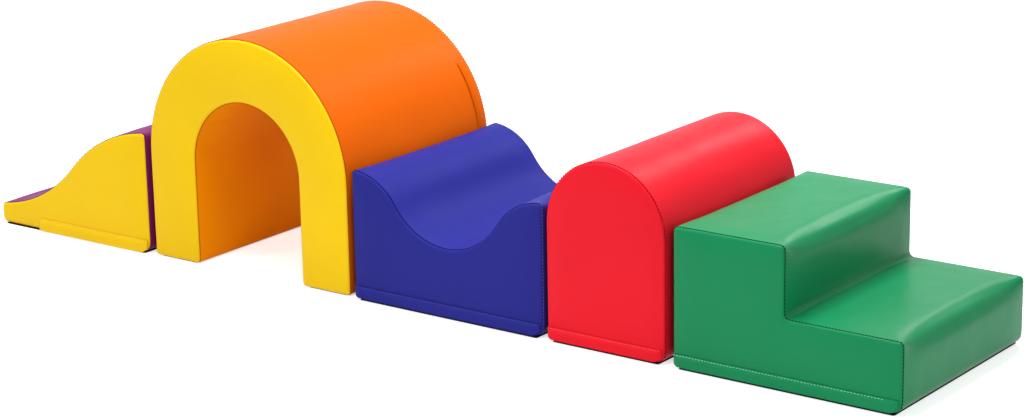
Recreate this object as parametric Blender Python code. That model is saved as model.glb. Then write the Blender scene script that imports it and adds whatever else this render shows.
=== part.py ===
"""Soft play foam climber: a low slide, a crawl-through tunnel, a wave, a round-top bump and two
steps that stand in a row. Each block is a foam core in a sewn cover, which has two side panels, a
wrap over the top and the ends, a non-slip base, and a zip under a cloth flap.

Metres, Z up. The row runs along X, and the side with the zips faces -Y.
"""

import math

import bmesh
import bpy

# The blocks
DEPTH = 0.600
SLIDE_LENGTH = 0.570
SLIDE_HEIGHT = 0.333
SLIDE_NOSE = 0.058
TUNNEL_LENGTH = 0.676
TUNNEL_HEIGHT = 0.626
DOORWAY_WIDTH = 0.358
DOORWAY_HEIGHT = 0.460
WAVE_LENGTH = 0.585
WAVE_HEIGHT = 0.337
WAVE_TROUGH = 0.178
BUMP_LENGTH = 0.337
BUMP_HEIGHT = 0.464
STEPS_LENGTH = 0.597
STEPS_HEIGHT = 0.342
UPPER_TREAD = 0.296
LOWER_STEP = 0.171

# The spaces between one block and the next
SLIDE_TO_TUNNEL = 0.021
TUNNEL_TO_WAVE = 0.018
WAVE_TO_BUMP = 0.013
BUMP_TO_STEPS = 0.022

# How the covers are sewn
COVER = 0.0015          # cover cloth, thickness
FIT = 0.0003            # gap between two pieces that touch
RIM = 0.008             # a side panel rolls over the foam's edge by this radius
SHOULDER = 0.006        # width over which a side panel then swells to its full depth
SWELL = 0.003           # depth of that swelling
SEAM_RUN = 0.012        # a wrap rises from its seam to its crown over this width
CROWN = 0.003           # height of a wrap's crown over its seams
CROWN_RISE = 0.050      # the crown fades out over this height above the hem
HEM_LIFT = 0.0018       # the hems' height over the floor
NOSING_EXTRA = 0.004    # an upper corner is rounder than the panels' edge by this
HEM_EXTRA = 0.002       # and so is a lower one
RISER_FILLET = 0.012    # hollow corner at the foot of the riser
BASE_EDGE = 0.0012      # chamfer round a base
BASE_CORNER = 0.006     # its corners in plan

# The zips
ZIP_EDGE = 0.001        # from the panel's flat part to the tape
TAPE_WIDTH = 0.016
TAPE = 0.0008
COIL_WIDTH = 0.005
COIL = 0.0018
SLIDER_LENGTH = 0.014
SLIDER_WALL = 0.0012
SLIDER_CLEAR = 0.0004   # running clearance round the coil
SLIDER_PARK = 0.004     # from the tape's end to the parked slider
FLAP_CLEAR = 0.0006     # from a slider to the flap over it
FLAP_OVERLAP = 0.004    # from the tape to the flap's stitched edge
FLAP_RAISE = 0.0015     # from the hem to the flap's free edge
SLIDE_ZIP_START = 0.150
STEPS_ZIP_MARGIN = 0.030
TUNNEL_ZIP_ANGLE = 38.0

# Slopes, shares and facets
SLIDE_END_SLOPE = 5.0
CREST_SHARE = 0.46
NOSE_TAPER_SHARE = 0.4
CORNER_STEPS = 3
RIM_STEPS = 2
SLIDE_STEPS = 7
ARCH_STEPS = 24
DOORWAY_STEPS = 18
CREST_STEPS = 5
TROUGH_STEPS = 10
BUMP_STEPS = 20
SHARP_ANGLE = 40.0

# What follows from them
EDGE = RIM + SHOULDER
NOSING = EDGE + NOSING_EXTRA
HEM_CORNER = EDGE + HEM_EXTRA
SEAM = DEPTH / 2 - RIM - SWELL
BASE_TOP = HEM_LIFT + COVER
CROWN_TOP = HEM_LIFT + CROWN_RISE
TAPE_LOW = EDGE + ZIP_EDGE
COIL_MIDDLE = TAPE_LOW + TAPE_WIDTH / 2
TAPE_HIGH = TAPE_LOW + TAPE_WIDTH
FLAP_TOP = TAPE_HIGH + FLAP_OVERLAP
SLIDER_HALF = COIL_WIDTH / 2 + SLIDER_CLEAR + SLIDER_WALL
TAPE_FACE = FIT + TAPE
PLATE_FACE = TAPE_FACE + COIL + SLIDER_CLEAR
FLAP_HOLLOW = PLATE_FACE + SLIDER_WALL + FLAP_CLEAR
FLAP_PROUD = FLAP_HOLLOW + COVER
ROW_LENGTH = (
    SLIDE_LENGTH + SLIDE_TO_TUNNEL
    + TUNNEL_LENGTH + TUNNEL_TO_WAVE
    + WAVE_LENGTH + WAVE_TO_BUMP
    + BUMP_LENGTH + BUMP_TO_STEPS
    + STEPS_LENGTH
)

# Cover cloth, lining, base cloth, foam, zip tape and slider, as linear colours
PAINTS = {
    "yellow_cover": ((0.880, 0.540, 0.016), 0.42, 0.0),
    "purple_cover": ((0.300, 0.090, 0.260), 0.42, 0.0),
    "orange_cover": ((0.930, 0.215, 0.018), 0.42, 0.0),
    "orange_lining": ((0.690, 0.160, 0.010), 0.50, 0.0),
    "blue_cover": ((0.045, 0.048, 0.300), 0.42, 0.0),
    "red_cover": ((0.830, 0.022, 0.038), 0.42, 0.0),
    "green_cover": ((0.020, 0.260, 0.100), 0.42, 0.0),
    "black_base": ((0.012, 0.012, 0.013), 0.80, 0.0),
    "foam": ((0.800, 0.780, 0.700), 0.95, 0.0),
    "zip_tape": ((0.015, 0.015, 0.016), 0.85, 0.0),
    "zip_slider": ((0.500, 0.500, 0.510), 0.30, 1.0),
}


def paint(name):
    """The material of that name, made the first time it is asked for."""
    found = bpy.data.materials.get(name)
    if found:
        return found
    colour, roughness, metallic = PAINTS[name]
    material = bpy.data.materials.new(name)
    material.use_nodes = True
    shader = material.node_tree.nodes["Principled BSDF"]
    shader.inputs["Base Color"].default_value = (*colour, 1.0)
    shader.inputs["Roughness"].default_value = roughness
    shader.inputs["Metallic"].default_value = metallic
    return material


def arc(centre, radius, start, end, steps):
    """Points along an arc in the X-Z plane, from one angle in degrees to another."""
    angles = [math.radians(start + (end - start) * i / steps) for i in range(steps + 1)]
    return [(centre[0] + radius * math.cos(a), centre[1] + radius * math.sin(a)) for a in angles]


def plain(points):
    """Outline points that are no corners."""
    return [(x, z, 0.0) for x, z in points]


def fillet(before, corner, after, radius):
    """Points along the rounding of a corner."""
    to_before = (before[0] - corner[0], before[1] - corner[1])
    to_after = (after[0] - corner[0], after[1] - corner[1])
    a = math.atan2(to_before[1], to_before[0])
    b = math.atan2(to_after[1], to_after[0])
    between = (b - a + math.pi) % math.tau - math.pi
    middle = a + between / 2
    reach = radius / math.sin(abs(between) / 2)
    centre = (corner[0] + reach * math.cos(middle), corner[1] + reach * math.sin(middle))
    turn = math.degrees(math.pi - abs(between))
    back = math.degrees(middle) + 180.0
    way = math.copysign(turn / 2, between)
    return arc(centre, radius, back + way, back - way, CORNER_STEPS)


def rounded(corners):
    """A closed outline from (x, z, radius) corners, each with a radius rounded by it."""
    outline = []
    for i, (x, z, radius) in enumerate(corners):
        after = corners[(i + 1) % len(corners)]
        outline += fillet(corners[i - 1], (x, z), after, radius) if radius else [(x, z)]
    return outline


def miters(points, closed=True):
    """For each point, the vector that shifts both edges beside it by one to their right."""
    count = len(points)
    found = []
    for i, (x, z) in enumerate(points):
        normals = []
        for j, k in ((i - 1, i), (i, i + 1)):
            if not closed and (j < 0 or k == count):
                continue
            dx = points[k % count][0] - points[j][0]
            dz = points[k % count][1] - points[j][1]
            length = math.hypot(dx, dz)
            normals.append((dz / length, -dx / length))
        first, last = normals[0], normals[-1]
        share = 1.0 / (1.0 + first[0] * last[0] + first[1] * last[1])
        found.append(((first[0] + last[0]) * share, (first[1] + last[1]) * share))
    return found


def crown_share(z):
    """The share of the crown that a wrap has at this height."""
    return min(1.0, (z - HEM_LIFT) / CROWN_RISE)


def shifted(outline, inset, crown=0.0):
    """The outline moved inwards, and outwards again by the crown."""
    moved = []
    for (x, z), (mx, mz) in zip(outline, miters(outline)):
        shift = inset - crown * crown_share(z)
        moved.append((x + mx * shift, z + mz * shift))
    return moved


def at_depth(points, y):
    return [(x, y, z) for x, z in points]


def loft(name, rings, parent, paint_name, origin=(0.0, 0.0, 0.0)):
    """A closed solid through rings of as many points each, capped at both ends. Each side is cut
    the same way, so that the twisted sides of two pieces that touch stay parallel."""
    form = bmesh.new()
    rows = []
    for ring in rings:
        rows.append([form.verts.new([p - o for p, o in zip(point, origin)]) for point in ring])
    for low, high in zip(rows, rows[1:]):
        for i in range(len(low)):
            j = i - 1
            form.faces.new((low[j], low[i], high[i]))
            form.faces.new((low[j], high[i], high[j]))
    form.faces.new(rows[0])
    form.faces.new(rows[-1])
    bmesh.ops.recalc_face_normals(form, faces=form.faces)
    mesh = bpy.data.meshes.new(name)
    form.to_mesh(mesh)
    form.free()
    mesh.materials.append(paint(paint_name))
    mesh.shade_smooth()
    mesh.set_sharp_from_angle(angle=math.radians(SHARP_ANGLE))
    made = bpy.data.objects.new(name, mesh)
    made.parent = parent
    made.location = origin
    bpy.context.scene.collection.objects.link(made)
    return made


def block_place(name, left):
    """An empty at the left end of a block's middle line, which carries its pieces."""
    place = bpy.data.objects.new(name + "_place", None)
    place.location = (left, FLAP_PROUD / 2, 0.0)
    bpy.context.scene.collection.objects.link(place)
    return place


def foam_core(name, outline, parent):
    """The foam inside the cover, with the cover's swellings and a chamfer under its rims."""
    skin = COVER + FIT
    face = DEPTH / 2 - skin
    half = [
        (EDGE, 0.0, face),
        (RIM, 0.0, SEAM + RIM - skin),
        (skin, 0.0, SEAM),
        (skin, CROWN, SEAM - SEAM_RUN),
    ]
    sections = [(inset, crown, -y) for inset, crown, y in half]
    sections += half[::-1]
    rings = [at_depth(shifted(outline, inset, crown), y) for inset, crown, y in sections]
    loft(name, rings, parent, "foam")


def side_panel(name, outline, side, parent, paint_name):
    """A side of the cover: a shallow pan whose rim rolls over the foam's edge to the seam."""
    tight = RIM - COVER
    outer = []
    inner = []
    for i in range(RIM_STEPS + 1):
        turn = math.radians(90.0 * i / RIM_STEPS)
        outer.append((RIM - RIM * math.cos(turn), SEAM + RIM * math.sin(turn)))
        inner.append((RIM - tight * math.cos(turn), SEAM + tight * math.sin(turn)))
    outer.append((EDGE, DEPTH / 2))
    inner.append((EDGE, DEPTH / 2 - COVER))
    rings = [at_depth(shifted(outline, inset), side * y) for inset, y in inner[::-1] + outer]
    loft(name, rings, parent, paint_name)


def wrap(name, outline, first, last, parent, paint_name):
    """The strip of cover that follows the outline from one hem to the next, seam to seam."""
    edge = SEAM - FIT
    crowned = SEAM - SEAM_RUN
    layers = []
    for inset in (COVER, 0.0):
        low = shifted(outline, inset)
        high = shifted(outline, inset, CROWN)
        layers.append([(low, -edge), (high, -crowned), (high, crowned), (low, edge)])
    around = layers[0] + layers[1][::-1]
    rings = []
    for i in range(first, last + 1):
        rings.append([(points[i][0], y, points[i][1]) for points, y in around])
    loft(name, rings, parent, paint_name)


def base(name, start, end, parent):
    """The black non-slip panel that closes the cover below and stands on the floor."""
    half = SEAM - FIT

    def ring(inset, z):
        x0, x1, y1 = start + inset, end - inset, half - inset
        corners = [(x0, -y1), (x0, y1), (x1, y1), (x1, -y1)]
        points = []
        for i, corner in enumerate(corners):
            before, after = corners[i - 1], corners[(i + 1) % len(corners)]
            points += fillet(before, corner, after, BASE_CORNER)
        return [(x, y, z) for x, y in points]

    loft(name, [ring(BASE_EDGE, 0.0), ring(0.0, BASE_EDGE), ring(0.0, BASE_TOP)], parent, "black_base")


def tape_section():
    """Zip tape and its closed coil, as (height over the cover, distance from the cover's edge)."""
    low, high = COIL_MIDDLE - COIL_WIDTH / 2, COIL_MIDDLE + COIL_WIDTH / 2
    return [
        (FIT, TAPE_LOW),
        (TAPE_FACE, TAPE_LOW),
        (TAPE_FACE, low),
        (TAPE_FACE + COIL, low),
        (TAPE_FACE + COIL, high),
        (TAPE_FACE, high),
        (TAPE_FACE, TAPE_HIGH),
        (FIT, TAPE_HIGH),
    ]


def slider_section(wall):
    """A slider's plate and the two flanges that hold the coil between them."""
    out = SLIDER_HALF
    inside = out - SLIDER_WALL
    foot = TAPE_FACE + SLIDER_CLEAR
    top = PLATE_FACE + wall
    return [
        (foot, COIL_MIDDLE - out),
        (top, COIL_MIDDLE - out),
        (top, COIL_MIDDLE + out),
        (foot, COIL_MIDDLE + out),
        (foot, COIL_MIDDLE + inside),
        (PLATE_FACE, COIL_MIDDLE + inside),
        (PLATE_FACE, COIL_MIDDLE - inside),
        (foot, COIL_MIDDLE - inside),
    ]


def flap_section():
    """The cloth flap, from its stitched edge over the slider's room to its free edge."""
    room = SLIDER_HALF + FLAP_CLEAR
    line = [
        (FIT, FLAP_TOP),
        (TAPE_FACE + FLAP_CLEAR, TAPE_HIGH + FLAP_CLEAR),
        (FLAP_HOLLOW, COIL_MIDDLE + room),
        (FLAP_HOLLOW, COIL_MIDDLE - room),
        (TAPE_FACE, FLAP_RAISE),
    ]
    outer = [(h - mh * COVER, v - mv * COVER) for (h, v), (mh, mv) in zip(line, miters(line, False))]
    outer[0] = (FIT + COVER, FLAP_TOP)
    return line + outer[::-1]


def on_panel(section, x):
    """A zip section on the near side panel, at this place along the row."""
    return [(x, -DEPTH / 2 - height, HEM_LIFT + v) for height, v in section]


def slider_rings(place_section, start, step):
    """Four sections of a slider whose plate thins towards both ends."""
    thin = slider_section(SLIDER_WALL * NOSE_TAPER_SHARE)
    full = slider_section(SLIDER_WALL)
    quarter = SLIDER_LENGTH / 4
    stations = ((0.0, thin), (quarter, full), (SLIDER_LENGTH - quarter, full), (SLIDER_LENGTH, thin))
    return [place_section(section, start + step * along) for along, section in stations]


def panel_zip(block, start, end, parent, paint_name):
    """The zip low on a near side panel: tape, slider and the flap that hangs over them."""
    tape_start, tape_end = start + EDGE, end - EDGE
    rings = [on_panel(tape_section(), x) for x in (tape_start, tape_end)]
    loft(block + "_zip_tape", rings, parent, "zip_tape")

    parked = tape_end - SLIDER_PARK
    rings = slider_rings(on_panel, parked, -1.0)
    origin = (parked, -DEPTH / 2 - PLATE_FACE, HEM_LIFT + COIL_MIDDLE)
    loft(block + "_zip_slider", rings, parent, "zip_slider", origin)

    flap_start, flap_end = start + RIM, end - RIM
    rings = [on_panel(flap_section(), x) for x in (flap_start, flap_end)]
    origin = (flap_start, -DEPTH / 2 - FIT - COVER / 2, HEM_LIFT + FLAP_TOP)
    loft(block + "_zip_flap", rings, parent, paint_name, origin)


def hem_corner(x):
    return (x, HEM_LIFT, HEM_CORNER)


def slide_outline():
    """The slide's side: a hollow run-up and a round brow, two tangent arcs of one radius."""
    rise = SLIDE_HEIGHT - SLIDE_NOSE
    flat = math.radians(SLIDE_END_SLOPE)
    steep = 2 * math.atan2(rise, SLIDE_LENGTH) - flat
    radius = SLIDE_LENGTH / 2 / (math.sin(steep) - math.sin(flat))
    hollow_centre = (-radius * math.sin(flat), SLIDE_NOSE + radius * math.cos(flat))
    brow_centre = (SLIDE_LENGTH + radius * math.sin(flat), SLIDE_HEIGHT - radius * math.cos(flat))
    low, high = math.degrees(flat), math.degrees(steep)
    hollow = arc(hollow_centre, radius, -90.0 + low, -90.0 + high, SLIDE_STEPS)
    brow = arc(brow_centre, radius, 90.0 + high, 90.0 + low, SLIDE_STEPS)
    return rounded([
        hem_corner(0.0),
        (0.0, SLIDE_NOSE, NOSING),
        *plain(hollow[1:] + brow[1:-1]),
        (SLIDE_LENGTH, SLIDE_HEIGHT, NOSING),
        (SLIDE_LENGTH, CROWN_TOP, 0.0),
        hem_corner(SLIDE_LENGTH),
    ])


def tunnel_outline():
    """The tunnel's face, a round arch on straight legs with a like doorway in it, and how many
    of its points lie outside."""
    radius = TUNNEL_LENGTH / 2
    inner = DOORWAY_WIDTH / 2
    left, right = radius - inner, radius + inner
    outer_arch = arc((radius, TUNNEL_HEIGHT - radius), radius, 180.0, 0.0, ARCH_STEPS)
    inner_arch = arc((radius, DOORWAY_HEIGHT - inner), inner, 0.0, 180.0, DOORWAY_STEPS)
    outside = [
        hem_corner(0.0),
        (0.0, CROWN_TOP, 0.0),
        *plain(outer_arch),
        (TUNNEL_LENGTH, CROWN_TOP, 0.0),
        hem_corner(TUNNEL_LENGTH),
    ]
    doorway = [
        hem_corner(right),
        (right, CROWN_TOP, 0.0),
        *plain(inner_arch),
        (left, CROWN_TOP, 0.0),
        hem_corner(left),
    ]
    outline = rounded(outside + doorway)
    return outline, len(outside) + 2 * CORNER_STEPS


def wave_outline():
    """The wave's side: two crests and the trough between them, in tangent arcs."""
    half = WAVE_LENGTH / 2
    drop = WAVE_HEIGHT - WAVE_TROUGH
    steep = 2 * math.atan2(drop, half)
    both = half / math.sin(steep)
    crest = both * CREST_SHARE
    trough = both - crest
    turn = math.degrees(steep)
    left_crest = arc((0.0, WAVE_HEIGHT - crest), crest, 90.0, 90.0 - turn, CREST_STEPS)
    hollow = arc((half, WAVE_TROUGH + trough), trough, 270.0 - turn, 270.0 + turn, TROUGH_STEPS)
    right_crest = arc((WAVE_LENGTH, WAVE_HEIGHT - crest), crest, 90.0 + turn, 90.0, CREST_STEPS)
    return rounded([
        hem_corner(0.0),
        (0.0, CROWN_TOP, 0.0),
        (0.0, WAVE_HEIGHT, NOSING),
        *plain(left_crest[1:] + hollow[1:-1] + right_crest[:-1]),
        (WAVE_LENGTH, WAVE_HEIGHT, NOSING),
        (WAVE_LENGTH, CROWN_TOP, 0.0),
        hem_corner(WAVE_LENGTH),
    ])


def bump_outline():
    """The bump's side: a half round on straight walls."""
    radius = BUMP_LENGTH / 2
    return rounded([
        hem_corner(0.0),
        (0.0, CROWN_TOP, 0.0),
        *plain(arc((radius, BUMP_HEIGHT - radius), radius, 180.0, 0.0, BUMP_STEPS)),
        (BUMP_LENGTH, CROWN_TOP, 0.0),
        hem_corner(BUMP_LENGTH),
    ])


def steps_outline():
    """The steps' side: two treads with round nosings and a hollow corner below the riser."""
    return rounded([
        hem_corner(0.0),
        (0.0, CROWN_TOP, 0.0),
        (0.0, STEPS_HEIGHT, NOSING),
        (UPPER_TREAD, STEPS_HEIGHT, NOSING),
        (UPPER_TREAD, LOWER_STEP, RISER_FILLET),
        (STEPS_LENGTH, LOWER_STEP, NOSING),
        (STEPS_LENGTH, CROWN_TOP, 0.0),
        hem_corner(STEPS_LENGTH),
    ])


def whole_block(block, outline, length, left, side_paint, wrap_paint, zip_start, zip_end):
    """A block on one foot: core, two side panels, wrap, base and zip."""
    place = block_place(block, left)
    foam_core(block + "_foam_core", outline, place)
    side_panel(block + "_side_near", outline, -1.0, place, side_paint)
    side_panel(block + "_side_far", outline, 1.0, place, side_paint)
    wrap(block + "_wrap", outline, 0, len(outline) - 1, place, wrap_paint)
    base(block + "_base", HEM_CORNER + FIT, length - HEM_CORNER - FIT, place)
    panel_zip(block, zip_start, zip_end, place, side_paint)


def tunnel_zip(outline, outside, parent):
    """The zip along the far edge of the tunnel's wrap, from its brow down the right leg."""
    crowned = shifted(outline, 0.0, CROWN)
    inward = miters(outline)
    leg_end = outside - CORNER_STEPS - 2
    facets = round(TUNNEL_ZIP_ANGLE * ARCH_STEPS / 180.0)
    route = [(crowned[i], inward[i]) for i in range(leg_end - 1 - facets, leg_end + 1)]

    def on_route(section, stop):
        (x, z), (mx, mz) = stop
        return [(x - mx * height, SEAM - v, z - mz * height) for height, v in section]

    def on_leg(section, z):
        return [(TUNNEL_LENGTH + CROWN + height, SEAM - v, z) for height, v in section]

    loft("tunnel_zip_tape", [on_route(tape_section(), stop) for stop in route], parent, "zip_tape")
    rings = [on_route(flap_section(), stop) for stop in route]
    loft("tunnel_zip_flap", rings, parent, "orange_cover")

    parked = CROWN_TOP + SLIDER_PARK
    rings = slider_rings(on_leg, parked, 1.0)
    origin = (TUNNEL_LENGTH + CROWN + PLATE_FACE, SEAM - COIL_MIDDLE, parked)
    loft("tunnel_zip_slider", rings, parent, "zip_slider", origin)


def tunnel_block(left):
    """The tunnel: an arch on two feet, with a wrap outside, a lining inside and its own zip."""
    outline, outside = tunnel_outline()
    place = block_place("tunnel", left)
    foam_core("tunnel_foam_core", outline, place)
    side_panel("tunnel_face_near", outline, -1.0, place, "yellow_cover")
    side_panel("tunnel_face_far", outline, 1.0, place, "yellow_cover")
    wrap("tunnel_outer_wrap", outline, 0, outside - 1, place, "orange_cover")
    wrap("tunnel_lining", outline, outside, len(outline) - 1, place, "orange_lining")
    leg = (TUNNEL_LENGTH - DOORWAY_WIDTH) / 2
    for name, start in (("left", 0.0), ("right", TUNNEL_LENGTH - leg)):
        foot = start + HEM_CORNER + FIT, start + leg - HEM_CORNER - FIT
        base("tunnel_foot_base_" + name, *foot, place)
    tunnel_zip(outline, outside, place)


def build():
    for old in list(bpy.data.objects):
        bpy.data.objects.remove(old)
    left = -ROW_LENGTH / 2
    whole_block(
        "slide", slide_outline(), SLIDE_LENGTH, left,
        "yellow_cover", "purple_cover", SLIDE_ZIP_START, SLIDE_LENGTH,
    )
    left += SLIDE_LENGTH + SLIDE_TO_TUNNEL
    tunnel_block(left)
    left += TUNNEL_LENGTH + TUNNEL_TO_WAVE
    whole_block(
        "wave", wave_outline(), WAVE_LENGTH, left,
        "blue_cover", "blue_cover", 0.0, WAVE_LENGTH,
    )
    left += WAVE_LENGTH + WAVE_TO_BUMP
    whole_block(
        "bump", bump_outline(), BUMP_LENGTH, left,
        "red_cover", "red_cover", 0.0, BUMP_LENGTH,
    )
    left += BUMP_LENGTH + BUMP_TO_STEPS
    whole_block(
        "steps", steps_outline(), STEPS_LENGTH, left,
        "green_cover", "green_cover", 0.0, STEPS_LENGTH - STEPS_ZIP_MARGIN,
    )


build()
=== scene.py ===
"""The looks of a soft play foam climber: slide, tunnel, wave, bump and steps, each a foam block in a
sewn cover of coated cloth, standing in a row on a pale studio floor. Metres, Z up."""
import math

import bmesh
import bpy
from mathutils import Matrix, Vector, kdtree


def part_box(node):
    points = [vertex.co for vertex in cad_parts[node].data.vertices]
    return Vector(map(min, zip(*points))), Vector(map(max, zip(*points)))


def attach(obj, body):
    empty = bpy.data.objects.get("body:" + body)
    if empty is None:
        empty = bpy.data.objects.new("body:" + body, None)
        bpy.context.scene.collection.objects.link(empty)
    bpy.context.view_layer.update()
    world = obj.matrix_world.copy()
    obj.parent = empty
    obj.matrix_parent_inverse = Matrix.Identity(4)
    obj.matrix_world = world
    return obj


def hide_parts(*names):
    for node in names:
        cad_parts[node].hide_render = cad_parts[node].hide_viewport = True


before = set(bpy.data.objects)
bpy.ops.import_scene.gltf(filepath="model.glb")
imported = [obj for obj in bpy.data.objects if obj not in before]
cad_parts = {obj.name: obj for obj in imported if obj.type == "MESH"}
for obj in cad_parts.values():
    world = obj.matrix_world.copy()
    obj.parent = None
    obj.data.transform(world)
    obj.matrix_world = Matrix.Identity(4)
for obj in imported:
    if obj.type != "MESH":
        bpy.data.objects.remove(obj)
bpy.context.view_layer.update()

# Camera: a long lens a little above the row, on the side with the zips, turned towards the
# steps' end. The angles and the place were worked out from the blocks' corners in the photograph.
LENS = 93.13
AZIMUTH, ELEVATION, TILT = 36.823, 15.785, -1.079
CAMERA_PLACE = (4.012, -5.164, 2.032)

camera = bpy.data.objects.new("camera", bpy.data.cameras.new("camera"))
bpy.context.scene.collection.objects.link(camera)
camera.data.lens = LENS
camera.matrix_world = (
    Matrix.Translation(CAMERA_PLACE)
    @ Matrix.Rotation(math.radians(AZIMUTH), 4, "Z")
    @ Matrix.Rotation(math.radians(90.0 - ELEVATION), 4, "X")
    @ Matrix.Rotation(math.radians(TILT), 4, "Z")
)
bpy.context.scene.camera = camera

# Wraps: each cover's strip of coated cloth, cut as wide as the foam, runs from one hem up over the
# top and down to the other. It rolls over the foam's edges to its two seams, and between them it
# is pulled tight, so that it rounds the corners and stands a little crowned.
MIDDLE = (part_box("wave_side_near")[0].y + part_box("wave_side_far")[1].y) / 2
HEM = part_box("wave_side_near")[0].z
FACE = 0.2983           # from the middle line to a side panel's flat
ROLL = 0.0104           # radius of the foam's edges
SEAM_ANGLE = 20.0       # the seam is this far round the edge
WRAP_ANGLES, PANEL_ANGLES = (7.0, 14.0), (28.0, 40.0, 52.0, 64.0, 77.0, 90.0)
CLOTH = 0.0015
CELL, CELL_WIDTH = 0.014, 0.0168        # of the cloth's mesh, along a strip and across it
SEAM_GAP = 0.0002
GROOVE = 0.0024         # depth of the seam's groove
CORNER = 0.0130         # the seams' corners, nearly one cell
REMNANT = 0.0008        # what a corner may leave of the cell beside it
LEFT_FOOT, RIGHT_FOOT = 0.018, 0.028    # the lower ones, which are rounder
TUNNEL_FOOT = 0.0120
TUCK = 0.040            # what lies under the foam
SLIDE_HEIGHT, SLIDE_NOSE, SLIDE_END_SLOPE = 0.333, 0.058, 5.0
TUNNEL_HEIGHT, DOORWAY_WIDTH, DOORWAY_HEIGHT = 0.626, 0.358, 0.460
WAVE_HEIGHT, WAVE_TROUGH, CREST_SHARE = 0.337, 0.178, 0.46
BUMP_HEIGHT = 0.464
STEPS_HEIGHT, UPPER_TREAD, LOWER_STEP, RISER_FILLET = 0.342, 0.296, 0.171, 0.012
NEAR_ZERO = 1e-5


def edge_place(degrees):
    """A point this far round a rolled edge: from the middle line, and below the outline."""
    turn = math.radians(degrees)
    return FACE - ROLL + ROLL * math.sin(turn), ROLL * (1.0 - math.cos(turn))


SEAM, SEAM_DEPTH = edge_place(SEAM_ANGLE)


def ends(block):
    """The left and right end of a block, along the row."""
    low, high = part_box(block + ("_face_near" if block == "tunnel" else "_side_near"))
    return low.x, high.x


def choose(*pieces):
    """Selects these pieces alone, with the last one active."""
    bpy.ops.object.select_all(action="DESELECT")
    for piece in pieces:
        piece.select_set(True)
    bpy.context.view_layer.objects.active = pieces[-1]


def join(*pieces):
    """Joins these pieces into the last of them."""
    choose(*pieces)
    bpy.ops.object.join()
    return pieces[-1]


def take_up(piece):
    """Opens one piece alone for editing."""
    choose(piece)
    bpy.ops.object.mode_set(mode="EDIT")


def put_down():
    """Closes the open piece."""
    bpy.ops.object.mode_set(mode="OBJECT")
    bpy.ops.object.select_all(action="DESELECT")


def at(axis, value):
    """A test for pick: every corner has this x, y or z."""
    return lambda corners: all(abs(getattr(p, axis) - value) < NEAR_ZERO for p in corners)


def along(axis):
    """A test for pick: the two ends of an edge differ in x, y or z."""
    return lambda corners: abs(getattr(corners[0], axis) - getattr(corners[1], axis)) > NEAR_ZERO


def pick(kind, wanted):
    """Selects the open piece's points, edges or faces that are wanted, by their corners."""
    bpy.ops.mesh.select_mode(type=kind)
    bpy.ops.mesh.select_all(action="DESELECT")
    mesh = bmesh.from_edit_mesh(bpy.context.object.data)
    for item in {"VERT": mesh.verts, "EDGE": mesh.edges, "FACE": mesh.faces}[kind]:
        if wanted([v.co for v in ([item] if kind == "VERT" else item.verts)]):
            item.select_set(True)
    mesh.select_flush_mode()
    bmesh.update_edit_mesh(bpy.context.object.data)


def divide(wanted, parts):
    """Divides the edges that are wanted into this many parts."""
    pick("EDGE", wanted)
    bpy.ops.mesh.subdivide(number_cuts=parts - 1)


def face_out(hollow=False, wrong=lambda normal: False):
    """Turns all faces of the open piece outwards, or inwards where it is hollow, and the other
    way again if one of them is wrong."""
    bpy.ops.mesh.select_all(action="SELECT")
    bpy.ops.mesh.normals_make_consistent(inside=hollow)
    if any(wrong(face.normal) for face in bmesh.from_edit_mesh(bpy.context.object.data).faces):
        bpy.ops.mesh.flip_normals()


def merge(distance):
    """Makes one of the open piece's points that are this close."""
    bpy.ops.mesh.select_all(action="SELECT")
    bpy.ops.mesh.remove_doubles(threshold=distance)


def settle(name, place=(0.0, 0.0, 0.0), size=(1.0, 1.0, 1.0)):
    """Names the piece just added, gives it its place and size, and applies them."""
    piece = bpy.context.object
    piece.name = name
    piece.location = place
    piece.scale = size
    bpy.ops.object.transform_apply(location=True, rotation=True, scale=True)
    return piece


def plane(name, place, size, turn=(0.0, 0.0, 0.0)):
    """A flat piece of this size, turned and set at this place."""
    bpy.ops.mesh.primitive_plane_add(size=1.0, rotation=turn)
    return settle(name, place, (*size, 1.0))


def begin(name, x, top, near, far, foot=HEM):
    """Stands a strip of cloth on its foot, as wide as from near to far, and holds its upper edge."""
    place = (x, MIDDLE + (near + far) / 2, (foot + top) / 2)
    piece = plane(name, place, (top - foot, far - near), (0.0, math.pi / 2, 0.0))
    take_up(piece)
    pick("EDGE", at("z", top))
    return piece


def lay(x, z, y=0.0):
    """Lays the cloth on, straight, by this much."""
    bpy.ops.mesh.extrude_region_move(TRANSFORM_OT_translate={"value": (x, y, z)})


def roll(x, z, radius, degrees):
    """Rolls it on about a centre line, clockwise as seen from the near side."""
    angle = math.radians(degrees)
    steps = math.ceil(abs(angle) * radius / CELL)
    bpy.ops.mesh.spin(steps=steps, angle=-angle, center=(x, 0.0, z), axis=(0.0, 1.0, 0.0))


def hold(x, z):
    """Picks the edges that cross the cloth at this place."""
    pick("EDGE", lambda corners: all(math.dist((p.x, p.z), (x, z)) < 10 * NEAR_ZERO for p in corners))


def round_off(x, z, radius):
    """Rounds the cloth's corner at this place."""
    hold(x, z)
    bpy.ops.mesh.bevel(offset=radius, segments=4, affect="EDGES", clamp_overlap=False)
    merge(REMNANT)


def even_out():
    """Divides the cloth's long straight runs into cells."""
    while True:
        mesh = bmesh.from_edit_mesh(bpy.context.object.data)
        runs = [e for e in mesh.edges if abs(e.verts[0].co.y - e.verts[1].co.y) < NEAR_ZERO]
        longest = max(runs, key=lambda edge: edge.calc_length())
        length = longest.calc_length()
        if length < 1.5 * CELL:
            return
        stops = [(p.co.x, p.co.z) for p in longest.verts]

        def beside(corners):
            places = [(p.x, p.z) for p in corners]
            return all(min(math.dist(a, b) for b in places) < NEAR_ZERO for a in stops)

        divide(beside, math.ceil(length / CELL))


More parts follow.
